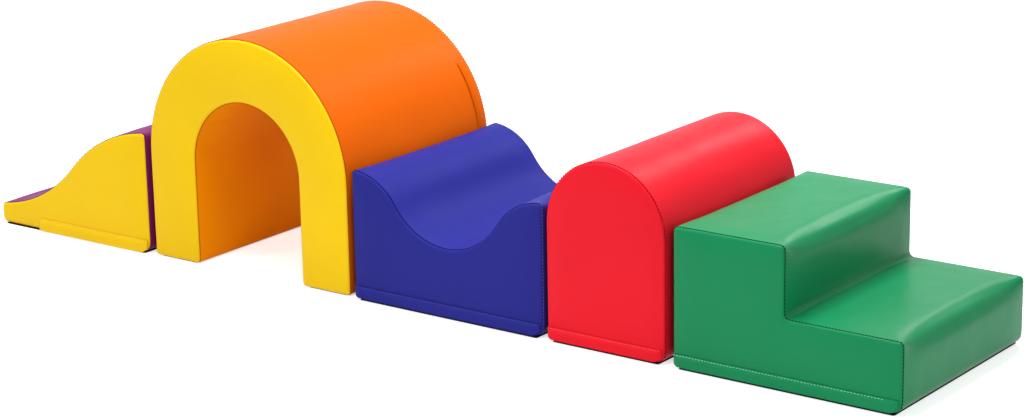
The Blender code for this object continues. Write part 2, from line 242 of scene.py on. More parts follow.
def cut_out(strip, name, near, far):
    """Cuts a strip of cloth to its outline, with round corners and even cells."""
    piece, corners = strip(name, near, far)
    for corner in corners:
        round_off(*corner)
    even_out()
    return piece, corners


def slice_at(place, way):
    """Cuts the open piece's faces in two, across this way."""
    bpy.ops.mesh.select_all(action="SELECT")
    bpy.ops.mesh.bisect(plane_co=place, plane_no=way)


def slide_strip(name, near, far, closed=False):
    """A hollow run-up and a round brow, in two tangent arcs."""
    left, right = ends("slide")
    flat = math.radians(SLIDE_END_SLOPE)
    steep = 2 * math.atan2(SLIDE_HEIGHT - SLIDE_NOSE, right - left) - flat
    radius = (right - left) / 2 / (math.sin(steep) - math.sin(flat))
    aside, above = radius * math.sin(flat), radius * math.cos(flat)
    bend = math.degrees(steep - flat)
    piece = begin(name, left, SLIDE_NOSE, near, far)
    roll(left - aside, SLIDE_NOSE + above, radius, -bend)
    roll(right + aside, SLIDE_HEIGHT - above, radius, bend)
    lay(0.0, HEM - SLIDE_HEIGHT)
    turn_under(left, right, closed)
    return piece, [(left, SLIDE_NOSE, CORNER), (right, SLIDE_HEIGHT, CORNER), *feet(left, right)]


def turn_under(left, right, closed):
    """Turns both hems under the foam, or one of them all the way to the other."""
    if closed:
        lay(left - right, 0.0)
        merge(NEAR_ZERO)
        return
    lay(-TUCK, 0.0)
    hold(left, HEM)
    lay(TUCK, 0.0)


def feet(left, right):
    """A solid block's two lower corners."""
    return [(left, HEM, LEFT_FOOT), (right, HEM, RIGHT_FOOT)]


def arch_strip(name, near, far, left, right, top):
    """Two straight walls and a half round over them."""
    radius = (right - left) / 2
    piece = begin(name, left, top - radius, near, far)
    roll((left + right) / 2, top - radius, radius, 180.0)
    lay(0.0, HEM - top + radius)
    return piece


def tunnel_strip(name, near, far):
    """The tunnel's outer wrap, from foot to foot."""
    left, right = ends("tunnel")
    piece = arch_strip(name, near, far, left, right, TUNNEL_HEIGHT)
    turn_under(left, right, False)
    return piece, [(x, HEM, TUNNEL_FOOT) for x in (left, right)]


def doorway():
    """The left and right side of the tunnel's doorway."""
    left, right = ends("tunnel")
    return (left + right - DOORWAY_WIDTH) / 2, (left + right + DOORWAY_WIDTH) / 2


def lining_strip(name, near, far):
    """The lining, whose hems turn under the two feet, away from the doorway."""
    left, right = doorway()
    piece = arch_strip(name, near, far, left, right, DOORWAY_HEIGHT)
    lay(TUCK, 0.0)
    hold(left, HEM)
    lay(-TUCK, 0.0)
    return piece, [(x, HEM, TUNNEL_FOOT) for x in (left, right)]


def wave_strip(name, near, far, closed=False):
    """Two crests and the trough between them, in tangent arcs."""
    left, right = ends("wave")
    half = (right - left) / 2
    steep = 2 * math.atan2(WAVE_HEIGHT - WAVE_TROUGH, half)
    both = half / math.sin(steep)
    crest, trough = both * CREST_SHARE, both * (1.0 - CREST_SHARE)
    bend = math.degrees(steep)
    piece = begin(name, left, WAVE_HEIGHT, near, far)
    roll(left, WAVE_HEIGHT - crest, crest, bend)
    roll(left + half, WAVE_TROUGH + trough, trough, -2 * bend)
    roll(right, WAVE_HEIGHT - crest, crest, bend)
    lay(0.0, HEM - WAVE_HEIGHT)
    turn_under(left, right, closed)
    return piece, [(left, WAVE_HEIGHT, CORNER), (right, WAVE_HEIGHT, CORNER), *feet(left, right)]


def bump_strip(name, near, far, closed=False):
    """Two walls and a half round, closed below."""
    left, right = ends("bump")
    piece = arch_strip(name, near, far, left, right, BUMP_HEIGHT)
    turn_under(left, right, closed)
    return piece, feet(left, right)


def steps_strip(name, near, far, closed=False):
    """Two treads, and a hollow corner below the riser."""
    left, right = ends("steps")
    piece = begin(name, left, STEPS_HEIGHT, near, far)
    lay(UPPER_TREAD, 0.0)
    lay(0.0, LOWER_STEP - STEPS_HEIGHT)
    lay(right - left - UPPER_TREAD, 0.0)
    lay(0.0, HEM - LOWER_STEP)
    turn_under(left, right, closed)
    nosing = left + UPPER_TREAD
    return piece, [
        (left, STEPS_HEIGHT, CORNER),
        (nosing, STEPS_HEIGHT, CORNER),
        (nosing, LOWER_STEP, RISER_FILLET),
        (right, LOWER_STEP, CORNER),
        *feet(left, right),
    ]


def roll_to_seam(side):
    """Rolls the border on this side over the foam's edge and down into the seam's groove."""
    out, down = FACE - ROLL, 0.0
    rows = [edge_place(degrees) for degrees in WRAP_ANGLES]
    for next_out, next_down in (*rows, (SEAM - SEAM_GAP / 2, SEAM_DEPTH + GROOVE)):
        lay(0.0, 0.0, side * (next_out - out))
        bpy.ops.transform.shrink_fatten(value=down - next_down)
        out, down = next_out, next_down


def weigh(piece, group, weight_at):
    """Gives a piece a group of points, each weighed by its place."""
    made = piece.vertex_groups.new(name=group)
    for point in piece.data.vertices:
        made.add([point.index], weight_at(point.co), "REPLACE")


def ease(value):
    """Eases in and out between 0 and 1."""
    value = min(1.0, max(0.0, value))
    return value * value * (3.0 - 2.0 * value)


def add(piece, kind, **settings):
    """Adds a modifier, sets it and applies it."""
    bpy.context.view_layer.objects.active = piece
    modifier = piece.modifiers.new(kind, kind)
    for setting, value in settings.items():
        setattr(modifier, setting, value)
    bpy.ops.object.modifier_apply(modifier=modifier.name)


def refine(piece):
    """Divides every cell in four, in a smooth curve."""
    add(piece, "SUBSURF", levels=1, render_levels=1, use_limit_surface=False)


# How the foam fills a cover: a short cloth simulation with the seams held
FOAM_PRESSURE = 4.0
STRETCH, BENDING = 40.0, 2.0
SIM_FRAMES = 14


def fill_out(piece, held, reach_at):
    """Lets the foam push the cloth out, held at its seams, and no further than its reach."""
    before = [point.co.copy() for point in piece.data.vertices]
    cloth = piece.modifiers.new("filling", "CLOTH")
    settings = cloth.settings
    settings.quality = 5
    settings.vertex_group_mass = held
    settings.use_pressure = True
    settings.uniform_pressure_force = FOAM_PRESSURE
    settings.effector_weights.gravity = 0.0
    settings.tension_stiffness = settings.compression_stiffness = STRETCH
    settings.bending_stiffness = BENDING
    cloth.point_cache.frame_end = SIM_FRAMES
    for number in range(1, SIM_FRAMES + 1):
        bpy.context.scene.frame_set(number)
    bpy.context.view_layer.objects.active = piece
    bpy.ops.object.modifier_apply(modifier=cloth.name)
    bpy.context.scene.frame_set(1)
    for point, start in zip(piece.data.vertices, before):
        way = point.co - start
        reach = reach_at(start)
        if way.length > NEAR_ZERO:
            point.co = start + way * (reach * math.tanh(way.length / reach) / way.length)


def soften(piece, group, size, depth):
    """Makes the cloth a little uneven, in waves of this size."""
    waves = bpy.data.textures.new(group, "CLOUDS")
    waves.noise_scale = size
    add(piece, "DISPLACE", texture=waves, strength=depth, vertex_group=group, texture_coords="LOCAL")


# How finishes are made: each from a shader and the nodes that vary it from place to place
CLOTH_TONE, CLOTH_GLOSS = 0.07, 0.06    # how much a cloth's colour and roughness vary
TONE_PATCHES, GLOSS_PATCHES, CREASE_PATCHES = 4.0, 14.0, 9.0
GRAIN_CELLS, GRAIN_SPECKS, GRAIN_STRENGTH, GRAIN_DEPTH = 620.0, 190.0, 0.22, 0.0004
CREASE_WAY, CREASE_WANDER, CREASE_DEPTH = (-28.0, 108.0, 150.0), (9.0, 9.0, 9.0), 0.004


def fill_in(tree, node, values):
    """Sets a node's inputs, each to a value or to what another node gives."""
    for socket, value in values.items():
        if isinstance(value, bpy.types.NodeSocket):
            tree.links.new(value, node.inputs[socket])
        else:
            node.inputs[socket].default_value = value


def add_node(tree, kind, output, values, **settings):
    """Adds a node, sets it and its inputs, and returns one of its outputs."""
    node = tree.nodes.new("ShaderNode" + kind)
    for setting, value in settings.items():
        setattr(node, setting, value)
    fill_in(tree, node, values)
    return node.outputs[output]


def new_finish(name, values):
    """A new material with its tree of nodes and its shader, which gets these values."""
    made = bpy.data.materials.new(name)
    made.use_nodes = True
    shader = made.node_tree.nodes["Principled BSDF"]
    fill_in(made.node_tree, shader, values)
    return made, made.node_tree, shader


def mix_tone(tree, share, dark, light):
    """A colour between these two, by the share that another node gives."""
    values = {"Factor": share, "A": (*dark, 1.0), "B": (*light, 1.0)}
    return add_node(tree, "Mix", "Result", values, data_type="RGBA")


def tones(colour, spread):
    """A darker and a lighter tone of a colour."""
    return [c * (1.0 - spread) for c in colour], [min(1.0, c * (1.0 + spread)) for c in colour]


def emboss(tree, height, strength, depth, **under):
    """A relief of this height and depth, over the one that may lie under it."""
    values = {"Height": height, "Strength": strength, "Distance": depth, **under}
    return add_node(tree, "Bump", "Normal", values)


def creased(tree, place, patches, strength, under):
    """Fine slanting stretch lines, in patches, over the relief under them."""
    slant = add_node(tree, "VectorMath", "Value", {0: place, 1: CREASE_WAY}, operation="DOT_PRODUCT")
    values = {0: place, 1: CREASE_WANDER, 2: slant}
    long = add_node(tree, "VectorMath", "Vector", values, operation="MULTIPLY_ADD")
    lines = add_node(tree, "TexNoise", "Fac", {"Vector": long, "Scale": 1.0, "Detail": 1.0})
    patch = add_node(tree, "MapRange", "Result", {"Value": patches, "From Min": 0.45, "From Max": 0.65})
    folds = add_node(tree, "Math", "Value", {0: lines, 1: patch}, operation="MULTIPLY")
    return emboss(tree, folds, strength, CREASE_DEPTH, Normal=under)


def coated_cloth(tone, colour, roughness=0.34, shine=0.10, creases=0.0):
    """Coated cloth with a fine leather grain and a satin face, a little uneven in both."""
    cloth, tree, shader = new_finish(tone + " coated cloth", {"Specular IOR Level": shine})
    place = add_node(tree, "TexCoord", "Object", {})

    def noise(scale, detail=2.0):
        return add_node(tree, "TexNoise", "Fac", {"Vector": place, "Scale": scale, "Detail": detail})

    values = {"To Min": roughness - CLOTH_GLOSS, "To Max": roughness + CLOTH_GLOSS}
    gloss = add_node(tree, "MapRange", "Result", {"Value": noise(GLOSS_PATCHES), **values})
    values = {"Vector": place, "Scale": GRAIN_CELLS}
    cells = add_node(tree, "TexVoronoi", "Distance", values, feature="DISTANCE_TO_EDGE")
    grain = add_node(tree, "Math", "Value", {0: cells, 1: noise(GRAIN_SPECKS, 4.0)}, operation="ADD")
    relief = emboss(tree, grain, GRAIN_STRENGTH, GRAIN_DEPTH)
    if creases:
        relief = creased(tree, place, noise(CREASE_PATCHES, 1.0), creases, relief)
    fill_in(tree, shader, {
        "Base Color": mix_tone(tree, noise(TONE_PATCHES, 3.0), *tones(colour, CLOTH_TONE)),
        "Roughness": gloss,
        "Normal": relief,
    })
    return cloth


CLOTHS = {
    "yellow_cover": coated_cloth("yellow", (0.930, 0.600, 0.003)),
    "purple_cover": coated_cloth("purple", (0.215, 0.014, 0.160), roughness=0.45, shine=0.06),
    "orange_cover": coated_cloth("orange", (0.700, 0.115, 0.001), roughness=0.42, shine=0.05),
    "orange_lining": coated_cloth("deep orange", (0.930, 0.310, 0.000), roughness=0.50, shine=0.03),
    "blue_cover": coated_cloth("blue", (0.024, 0.026, 0.252), roughness=0.45, shine=0.04),
    "red_cover": coated_cloth("red", (0.840, 0.010, 0.024), roughness=0.40, shine=0.09),
    "green_cover": coated_cloth("green", (0.005, 0.246, 0.088), shine=0.12, creases=0.12),
}

EDGE_FADE = 0.050       # the cloth stands full out this far from the rolled edge
CORNER_FADE, CORNER_SPREAD, CORNER_SOFTNESS = 0.030, 0.075, 32
HEM_FADE = 0.060        # and this far above the floor
WRAP_REACH, HELD_SHARE = 0.0036, 0.1
LOOSE_SIZE, LOOSE_DEPTH = 0.110, 0.0016
PUCKER_SIZE, PUCKER_DEPTH, PUCKER_WIDTH = 0.016, 0.0008, 0.024
CLOTH_CREASE = 55.0     # the sharpest fold in degrees that is shown smooth


def inside(p):
    """How far a point of a wrap lies inside its rolled edges."""
    return FACE - ROLL - abs(p.y - MIDDLE)


def freedom(p, seam_distance, foot=HEM):
    """From 0 at a seam or at the foot to 1 where the cloth is free."""
    return ease(seam_distance / EDGE_FADE) * ease((p.z - foot) / HEM_FADE)


def pucker(from_edge, from_seam):
    """From 0 away from a seam to 1 close beside it, where the thread gathers the cloth."""
    return ease(from_edge) * ease(1.0 - from_seam / PUCKER_WIDTH)


def give(most, free):
    """How far the foam may push the cloth, by how free it is."""
    return most * (HELD_SHARE + (1.0 - HELD_SHARE) * free)


def set_on(piece, finish, body, slot, *nodes, angle=35.0):
    """Gives a finished piece its finish and sets it on its body."""
    piece.data.materials.clear()
    piece.data.materials.append(finish)
    choose(piece)
    bpy.ops.object.shade_smooth_by_angle(angle=math.radians(angle))
    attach(piece, body)
    if nodes:
        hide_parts(*nodes)


def finish_cloth(piece, slot, body, *nodes):
    """Refines a cover's piece, gives it its thickness and sets it on its body."""
    refine(piece)
    soften(piece, "free", LOOSE_SIZE, LOOSE_DEPTH)
    soften(piece, "by the seam", PUCKER_SIZE, PUCKER_DEPTH)
    add(piece, "SOLIDIFY", thickness=CLOTH, offset=-1.0)
    piece.vertex_groups.clear()
    set_on(piece, CLOTHS[slot], body, slot, *nodes, angle=CLOTH_CREASE)


def make_wrap(strip, name, hollow=False):
    """Cuts a wrap, shapes it over the foam and lets the foam fill it out."""
    piece, corners = cut_out(strip, name, ROLL - FACE, FACE - ROLL)
    divide(along("y"), round(2 * SEAM / CELL_WIDTH) + 1)
    face_out(hollow)
    for side in (-1, 1):
        pick("EDGE", at("y", MIDDLE + side * (FACE - ROLL)))
        roll_to_seam(side)
    put_down()
    left = min(x for x, z, radius in corners)

    def by_corner(p):
        """From 0 away from the upper corners to 1 at one, but the block's left end stays crisp."""
        away = [math.dist((p.x, p.z), (x, z)) for x, z, radius in corners if z > HEM and x > left]
        return max((ease(1.0 - far / CORNER_SPREAD) for far in away), default=0.0)

    weigh(piece, "held", lambda p: float(inside(p) < NEAR_ZERO or p.z < HEM + NEAR_ZERO))
    weigh(piece, "free", lambda p: freedom(p, inside(p)))
    weigh(piece, "by the seam", lambda p: pucker(inside(p) / CELL, inside(p)))
    weigh(piece, "corner", lambda p: by_corner(p) * ease(inside(p) / CORNER_FADE))
    add(piece, "SMOOTH", factor=0.9, iterations=CORNER_SOFTNESS, vertex_group="corner")
    fill_out(piece, "held", lambda p: give(WRAP_REACH, freedom(p, inside(p))))
    return piece


wraps = {
    "slide": make_wrap(slide_strip, "slide_cover_top"),
    "tunnel": make_wrap(tunnel_strip, "tunnel_cover_top"),
    "lining": make_wrap(lining_strip, "tunnel_cover_lining", hollow=True),
    "wave": make_wrap(wave_strip, "wave_cover_top"),
    "bump": make_wrap(bump_strip, "bump_cover_top"),
    "steps": make_wrap(steps_strip, "steps_cover_top"),
}

# Side panels: each cover's two sides, cut to the foam's outline. The panel's rim rolls over the
# foam's edge to meet the wrap, and its flat swells a little.
SWELL, SHOULDER = 0.0012, 0.030     # the flat stands this much prouder, this far from the seam
PANEL_CELL = 0.012
MERGE = 0.0012          # points this close are one, where the rim is drawn together in a corner
SIDE_REACH = 0.0034
ZIP_TOP = 0.030         # the panel stays flat up to here, under the zip
SIDES = (("near", -1), ("far", 1))


def tunnel_rim(name, near, far):
    """The tunnel's whole outline: the outer wrap's and the lining's, joined under both feet."""
    left, right = ends("tunnel")
    door_left, door_right = doorway()
    outer = arch_strip(name, near, far, left, right, TUNNEL_HEIGHT)
    lay(door_right - right, 0.0)
    hold(left, HEM)
    lay(door_left - left, 0.0)
    put_down()
    inner = arch_strip("inner", near, far, door_left, door_right, DOORWAY_HEIGHT)
    put_down()
    take_up(join(inner, outer))
    merge(NEAR_ZERO)
    face_out()
    return outer, [(x, HEM, TUNNEL_FOOT) for x in (left, door_left, door_right, right)]


def make_side(strip, name, side, start, end, top):
    """Cuts a side panel, rolls its rim and lets the foam fill it out."""
    out, down = edge_place(PANEL_ANGLES[0])
    seam, rim = side * (SEAM + SEAM_GAP / 2), side * out
    piece, _ = cut_out(strip, name, min(seam, rim), max(seam, rim))
    face_out()
    bpy.ops.transform.shrink_fatten(value=-down)
    pick("EDGE", at("y", MIDDLE + seam))
    bpy.ops.transform.shrink_fatten(value=down - SEAM_DEPTH - GROOVE)
    pick("EDGE", at("y", MIDDLE + rim))
    bpy.ops.mesh.edge_face_add()
    face_out()
    pick("FACE", at("y", MIDDLE + rim))
    for degrees in PANEL_ANGLES[1:]:
        next_out, next_down = edge_place(degrees)
        bpy.ops.mesh.inset(thickness=next_down - down, depth=next_out - out)
        out, down = next_out, next_down
    flat = at("y", MIDDLE + side * FACE)
    pick("VERT", flat)
    bpy.ops.mesh.remove_doubles(threshold=MERGE)
    for length, far_end, axis in ((start, end, (1.0, 0.0, 0.0)), (HEM, top, (0.0, 0.0, 1.0))):
        for number in range(1, int((far_end - length) / PANEL_CELL) + 1):
            cut = [way * (length + number * PANEL_CELL) for way in axis]
            pick("FACE", flat)
            bpy.ops.mesh.bisect(plane_co=cut, plane_no=axis)
    put_down()

    border = [p.co for p in piece.data.vertices if abs(p.co.y - MIDDLE - seam) < NEAR_ZERO]
    tree = kdtree.KDTree(len(border))
    for number, place in enumerate(border):
        tree.insert(place, number)
    tree.balance()

    def from_seam(p):
        return tree.find(p)[2]

    held_rim = edge_place(PANEL_ANGLES[2])[0] + NEAR_ZERO
    weigh(piece, "held", lambda p: float(abs(p.y - MIDDLE) < held_rim))
    weigh(piece, "free", lambda p: freedom(p, from_seam(p), ZIP_TOP))
    weigh(piece, "by the seam", lambda p: pucker(from_seam(p) / ROLL - 1.0, from_seam(p)))
    weigh(piece, "swell", lambda p: ease((from_seam(p) - ROLL) / SHOULDER))
    add(piece, "DISPLACE", direction="Y", strength=side * SWELL, mid_level=0.0, vertex_group="swell")
    fill_out(piece, "held", lambda p: give(SIDE_REACH, freedom(p, from_seam(p), ZIP_TOP)))
    return piece


def two_sides(block, strip, top):
    """A cover's near and far side, each cut from the closed outline."""
    made = []
    for word, side in SIDES:
        name = f"{block}_cover_{word}_side"
        closed = strip if block == "tunnel" else (lambda n, a, b: strip(n, a, b, closed=True))
        made.append(make_side(closed, name, side, *ends(block), top))
    return made


sides = {
    "slide": two_sides("slide", slide_strip, SLIDE_HEIGHT),
    "tunnel": two_sides("tunnel", tunnel_rim, TUNNEL_HEIGHT),
    "wave": two_sides("wave", wave_strip, WAVE_HEIGHT),
    "bump": two_sides("bump", bump_strip, BUMP_HEIGHT),
    "steps": two_sides("steps", steps_strip, STEPS_HEIGHT),
}

# Foam cores: each block's one piece of firm foam, cut to the block's outline and squeezed a
# little by its cover, so it has the cover's crown, rolled rims and drawn-in seams.
FOAM_CLEAR = 0.0022     # from the cover's cloth
FOAM_CELLS = 420.0      # to a metre


def foam():
    """Pale open-cell foam."""
    made, tree, shader = new_finish("pale foam", {"Roughness": 0.95, "Specular IOR Level": 0.1})
    place = add_node(tree, "TexCoord", "Object", {})
    cells = add_node(tree, "TexVoronoi", "Distance", {"Vector": place, "Scale": FOAM_CELLS})
    fill_in(tree, shader, {
        "Base Color": mix_tone(tree, cells, (0.62, 0.60, 0.52), (0.82, 0.80, 0.72)),
        "Normal": emboss(tree, cells, 0.6, 0.0008),
    })
    return made


FOAM = foam()


def make_core(block, *cover):
    """Casts a block's foam from the inside of its cover."""
    copies = [piece.copy() for piece in cover]
    for copy in copies:
        copy.data = copy.data.copy()
        bpy.context.scene.collection.objects.link(copy)
    core = join(*copies)
    core.name = block + "_foam"
    core.vertex_groups.clear()
    take_up(core)
    merge(2 * SEAM_GAP)
    bpy.ops.mesh.fill_holes(sides=0)
    face_out()
    bpy.ops.transform.shrink_fatten(value=-FOAM_CLEAR)
    put_down()
    refine(core)
    set_on(core, FOAM, block + "_block", "foam", block + "_foam_core", angle=180.0)


SOLID_BLOCKS = ("slide", "wave", "bump", "steps")
for block in SOLID_BLOCKS:
    make_core(block, wraps[block], *sides[block])
make_core("tunnel", wraps["tunnel"], wraps["lining"], *sides["tunnel"])

for block, top_slot, side_slot in (
    ("slide", "purple_cover", "yellow_cover"),
    ("tunnel", "orange_cover", "yellow_cover"),
    ("wave", "blue_cover", "blue_cover"),
    ("bump", "red_cover", "red_cover"),
    ("steps", "green_cover", "green_cover"),
):
    body = block + "_block"
    top_node = "tunnel_outer_wrap" if block == "tunnel" else block + "_wrap"
    side_node = "tunnel_face_" if block == "tunnel" else block + "_side_"
    finish_cloth(wraps[block], top_slot, body, top_node)
    for side, (word, _) in zip(sides[block], SIDES):
        finish_cloth(side, side_slot, body, side_node + word)
finish_cloth(wraps["lining"], "orange_lining", "tunnel_block", "tunnel_lining")

# Bases: the black non-slip sheet that closes each cover below, sewn inside its hems, with small
# rubber pips on the floor. Under the solid blocks the sheet reaches out towards the panels' edges,
# so that its black edge shows under them: partly the real base, partly painted shade.
PIP, PIP_RADIUS, PIP_PITCH, PIP_MARGIN = 0.0005, 0.0032, 0.022, 0.014
# The last is how far a base's sheet reaches out to both sides: a black edge of painted shade.
BASE_CORNER, BASE_EDGE, BASE_PAINTED_SHADE_REACH = 0.006, 0.0003, 0.0110
PLAIN_TONE = 0.12       # how much the colour of a plain finish varies


def stock(name, low, high):
    """A plain piece of stock that fills this box, to be shaped."""
    middle = [(a + b) / 2 for a, b in zip(low, high)]
    bpy.ops.mesh.primitive_cube_add(size=1.0)
    return settle(name, middle, [b - a for a, b in zip(low, high)])


def plain_finish(name, colour, roughness, metallic=0.0, scale=300.0, depth=0.0002, shine=0.3):
    """A finish with a fine uneven grain."""
    values = {"Metallic": metallic, "Roughness": roughness, "Specular IOR Level": shine}
    made, tree, shader = new_finish(name, values)
    place = add_node(tree, "TexCoord", "Object", {})
    grain = add_node(tree, "TexNoise", "Fac", {"Vector": place, "Scale": scale, "Detail": 3.0})
    fill_in(tree, shader, {
        "Base Color": mix_tone(tree, grain, *tones(colour, PLAIN_TONE)),
        "Normal": emboss(tree, grain, 0.4, depth),
    })
    return made


def repeat(piece, count, step):
    """Repeats a piece in a row, one every step."""
    add(piece, "ARRAY", count=count, use_relative_offset=False, use_constant_offset=True,
        constant_offset_displace=step)


RUBBER = plain_finish("black rubber", (0.012, 0.012, 0.013), 0.62)


def make_base(node, body, reach=0.0):
    """The grip sheet of a base, which may reach further to both sides as a black edge of painted shade
    under the panels, and its pips.
    """
    low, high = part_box(node)
    low.y -= reach
    high.y += reach
    name = node.replace("base", "grip_sheet")
    base = stock(name, (low.x, low.y, PIP), (high.x, high.y, HEM - NEAR_ZERO))
    take_up(base)
    pick("EDGE", along("z"))
    bpy.ops.mesh.bevel(offset=BASE_CORNER, segments=5, affect="EDGES")
    pick("FACE", at("z", PIP))
    bpy.ops.mesh.inset(thickness=BASE_EDGE, depth=BASE_EDGE)
    put_down()
    bpy.ops.mesh.primitive_cylinder_add(vertices=6, radius=PIP_RADIUS, depth=PIP)
    pip = settle("pip", (low.x + PIP_MARGIN, low.y + PIP_MARGIN, PIP / 2))
    take_up(pip)
    pick("FACE", at("z", 0.0))
    bpy.ops.mesh.inset(thickness=PIP)
    put_down()
    for size, step in ((high.x - low.x, (PIP_PITCH, 0.0, 0.0)), (high.y - low.y, (0.0, PIP_PITCH, 0.0))):
        repeat(pip, int((size - 2 * PIP_MARGIN) / PIP_PITCH) + 1, step)
    set_on(join(pip, base), RUBBER, body, "black_base", node)


# The solid blocks' sheets reach out under the panels: a black edge that is partly painted shade.
for block in SOLID_BLOCKS:
    make_base(block + "_base", block + "_block", BASE_PAINTED_SHADE_REACH)
make_base("tunnel_foot_base_left", "tunnel_block")
make_base("tunnel_foot_base_right", "tunnel_block")

# Zips: a coil zip on a woven tape, sewn flat on the near side panel just over the hem, so that
# the cover comes off for washing. A short auto-lock slider without a pull runs on it.
FIT, TAPE, COIL_LIFT, COIL_WIDTH = 0.0003, 0.0008, 0.0018, 0.005
TAPE_LOW, COIL_MIDDLE, TAPE_HIGH = 0.015, 0.023, 0.031
COIL_PITCH, COIL_WIRE = 0.0020, 0.00045
CORD_LOW, CORD_HIGH, CORD_EDGE, CORD_RAISE = 0.003, 0.004, 0.0002, 0.0003
TAPE_EDGE, SLIDER_EDGE, THREAD_CREASE = 0.0002, 0.0003, 60.0
SLIDER_HALF, SLIDER_WALL, SLIDER_TOP, SLIDER_FOOT = 0.0041, 0.0012, 0.0045, 0.0015
SLIDER_NOSE, SLIDER_TAIL, NOSE_SHARE, TAIL_SHARE = 0.005, 0.003, 0.80, 0.90
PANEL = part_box("wave_side_near")[0].y

WOVEN = plain_finish("woven zip tape", (0.020, 0.020, 0.022), 0.85, scale=900.0)
METAL = plain_finish(
    "zip metal", (0.42, 0.42, 0.43), 0.32, metallic=1.0, scale=500.0, depth=0.00005)


def make_tape(block):
    """The woven tape, with a corded edge on each side of the coil."""
    low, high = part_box(block + "_zip_tape")
    tape = stock(
        block + "_woven_tape",
        (low.x, PANEL - FIT - TAPE, HEM + TAPE_LOW), (high.x, PANEL - FIT, HEM + TAPE_HIGH),
    )
    take_up(tape)
    middle = HEM + COIL_MIDDLE
    for height in (-CORD_HIGH, -CORD_LOW, CORD_LOW, CORD_HIGH):
        slice_at((0.0, 0.0, middle + height), (0.0, 0.0, 1.0))
    front = PANEL - FIT - TAPE + NEAR_ZERO
    for way in (-1, 1):
        pick("FACE", lambda corners: all(
            p.y < front and CORD_LOW - NEAR_ZERO < way * (p.z - middle) < CORD_HIGH + NEAR_ZERO
            for p in corners
        ))
        bpy.ops.mesh.inset(thickness=CORD_EDGE, depth=CORD_RAISE)
    put_down()
    add(tape, "BEVEL", width=TAPE_EDGE, segments=2)
    return tape


def make_coil(name, x, length):
    """A row of coil loops, each half a turn of wire over the tape's middle."""
    centre = (x, PANEL - FIT - TAPE, HEM + COIL_MIDDLE)
    bpy.ops.mesh.primitive_circle_add(
        vertices=5, radius=COIL_WIRE, rotation=(math.pi / 2, 0.0, 0.0))
    coil = settle(name, (*centre[:2], centre[2] - COIL_WIDTH / 2 + COIL_WIRE))
    take_up(coil)
    bpy.ops.mesh.select_all(action="SELECT")
    bpy.ops.mesh.spin(steps=5, angle=math.pi, center=centre, axis=(1.0, 0.0, 0.0))
    bpy.ops.mesh.select_all(action="SELECT")
    bpy.ops.transform.resize(value=(1.0, COIL_LIFT / (COIL_WIDTH / 2), 1.0), center_override=centre)
    bpy.ops.mesh.fill_holes(sides=0)
    face_out()
    put_down()
    repeat(coil, int(length / COIL_PITCH), (COIL_PITCH, 0.0, 0.0))
    return coil


def make_slider(block):
    """The slider's sheet metal, bent over the coil on both sides."""
    low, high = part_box(block + "_zip_slider")
    middle, depth = HEM + COIL_MIDDLE, SLIDER_TOP - SLIDER_FOOT
    place = ((low.x + high.x) / 2, PANEL - (SLIDER_TOP + SLIDER_FOOT) / 2, middle - SLIDER_HALF)
    slider = plane(block + "_slider_body", place, (high.x - low.x, depth))
    take_up(slider)
    pick("EDGE", at("y", PANEL - SLIDER_TOP))
    lay(0.0, 2 * SLIDER_HALF)
    lay(0.0, 0.0, depth)
    for x in (low.x + SLIDER_NOSE, high.x - SLIDER_TAIL):
        slice_at((x, 0.0, 0.0), (1.0, 0.0, 0.0))
    for x, share in ((low.x, NOSE_SHARE), (high.x, TAIL_SHARE)):
        pick("VERT", at("x", x))
        centre = (x, PANEL - SLIDER_FOOT, middle)
        bpy.ops.transform.resize(value=(1.0, 1.0, share), center_override=centre)
    face_out(wrong=lambda normal: normal.y > 0.5)
    put_down()
    add(slider, "SOLIDIFY", thickness=SLIDER_WALL, offset=-1.0)
    add(slider, "BEVEL", width=SLIDER_EDGE, segments=2)
    return slider


for block in SOLID_BLOCKS:
    low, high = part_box(block + "_zip_tape")
    set_on(make_tape(block), WOVEN, block + "_block", "zip_tape", block + "_zip_tape")
    set_on(make_coil(block + "_zip_coil", low.x + COIL_PITCH, high.x - low.x - 2 * COIL_PITCH),
           WOVEN, block + "_block", "zip_tape", angle=THREAD_CREASE)
    set_on(make_slider(block), METAL, block + "_slider", "zip_slider", block + "_zip_slider")

# Flaps: a band of the cover's cloth, sewn along its top edge and hanging over the zip to the
# hem. It lifts like a lid where the cover comes off.
FLAP_TOP, FLAP_RAISE, SLIDE_RAISE, FLAP_CELL = 0.035, 0.0055, 0.0010, 0.008
FLAP_LINE = ((0.0350, 0.0003), (0.0316, 0.0017), (0.0277, 0.0053), (0.0183, 0.0057), (0.0035, 0.0062))
FLAP_ROWS = 8
FLAP_WAVE, FLAP_WAVE_SIZE, FLAP_END, FLAP_INSET = 0.0014, 0.075, 0.012, 0.006
FLAP_END_SHARE = 0.15   # how far the flap's ends stand off, as a share
LOOSE_FADE = 0.060      # its free edge hangs loose from here on
CUT_EDGE, CUT_ANGLE = 0.0004, 50.0
FLAP_HEM = 0.0022       # from the flap's upper edge to its stitches


def flap_height(v):
    """How far the flap stands off the panel at this height over the hem."""
    for (high, far), (low, near) in zip(FLAP_LINE, FLAP_LINE[1:]):
        if v >= low - NEAR_ZERO:
            return near + (far - near) * (v - low) / (high - low)
    return FLAP_LINE[-1][1]


def thicken(piece, thickness, edge):
    """Gives a band its thickness, outwards, and breaks its edges."""
    add(piece, "SOLIDIFY", thickness=thickness, offset=1.0)
    add(piece, "BEVEL", width=edge, segments=2, limit_method="ANGLE",
        angle_limit=math.radians(CUT_ANGLE))


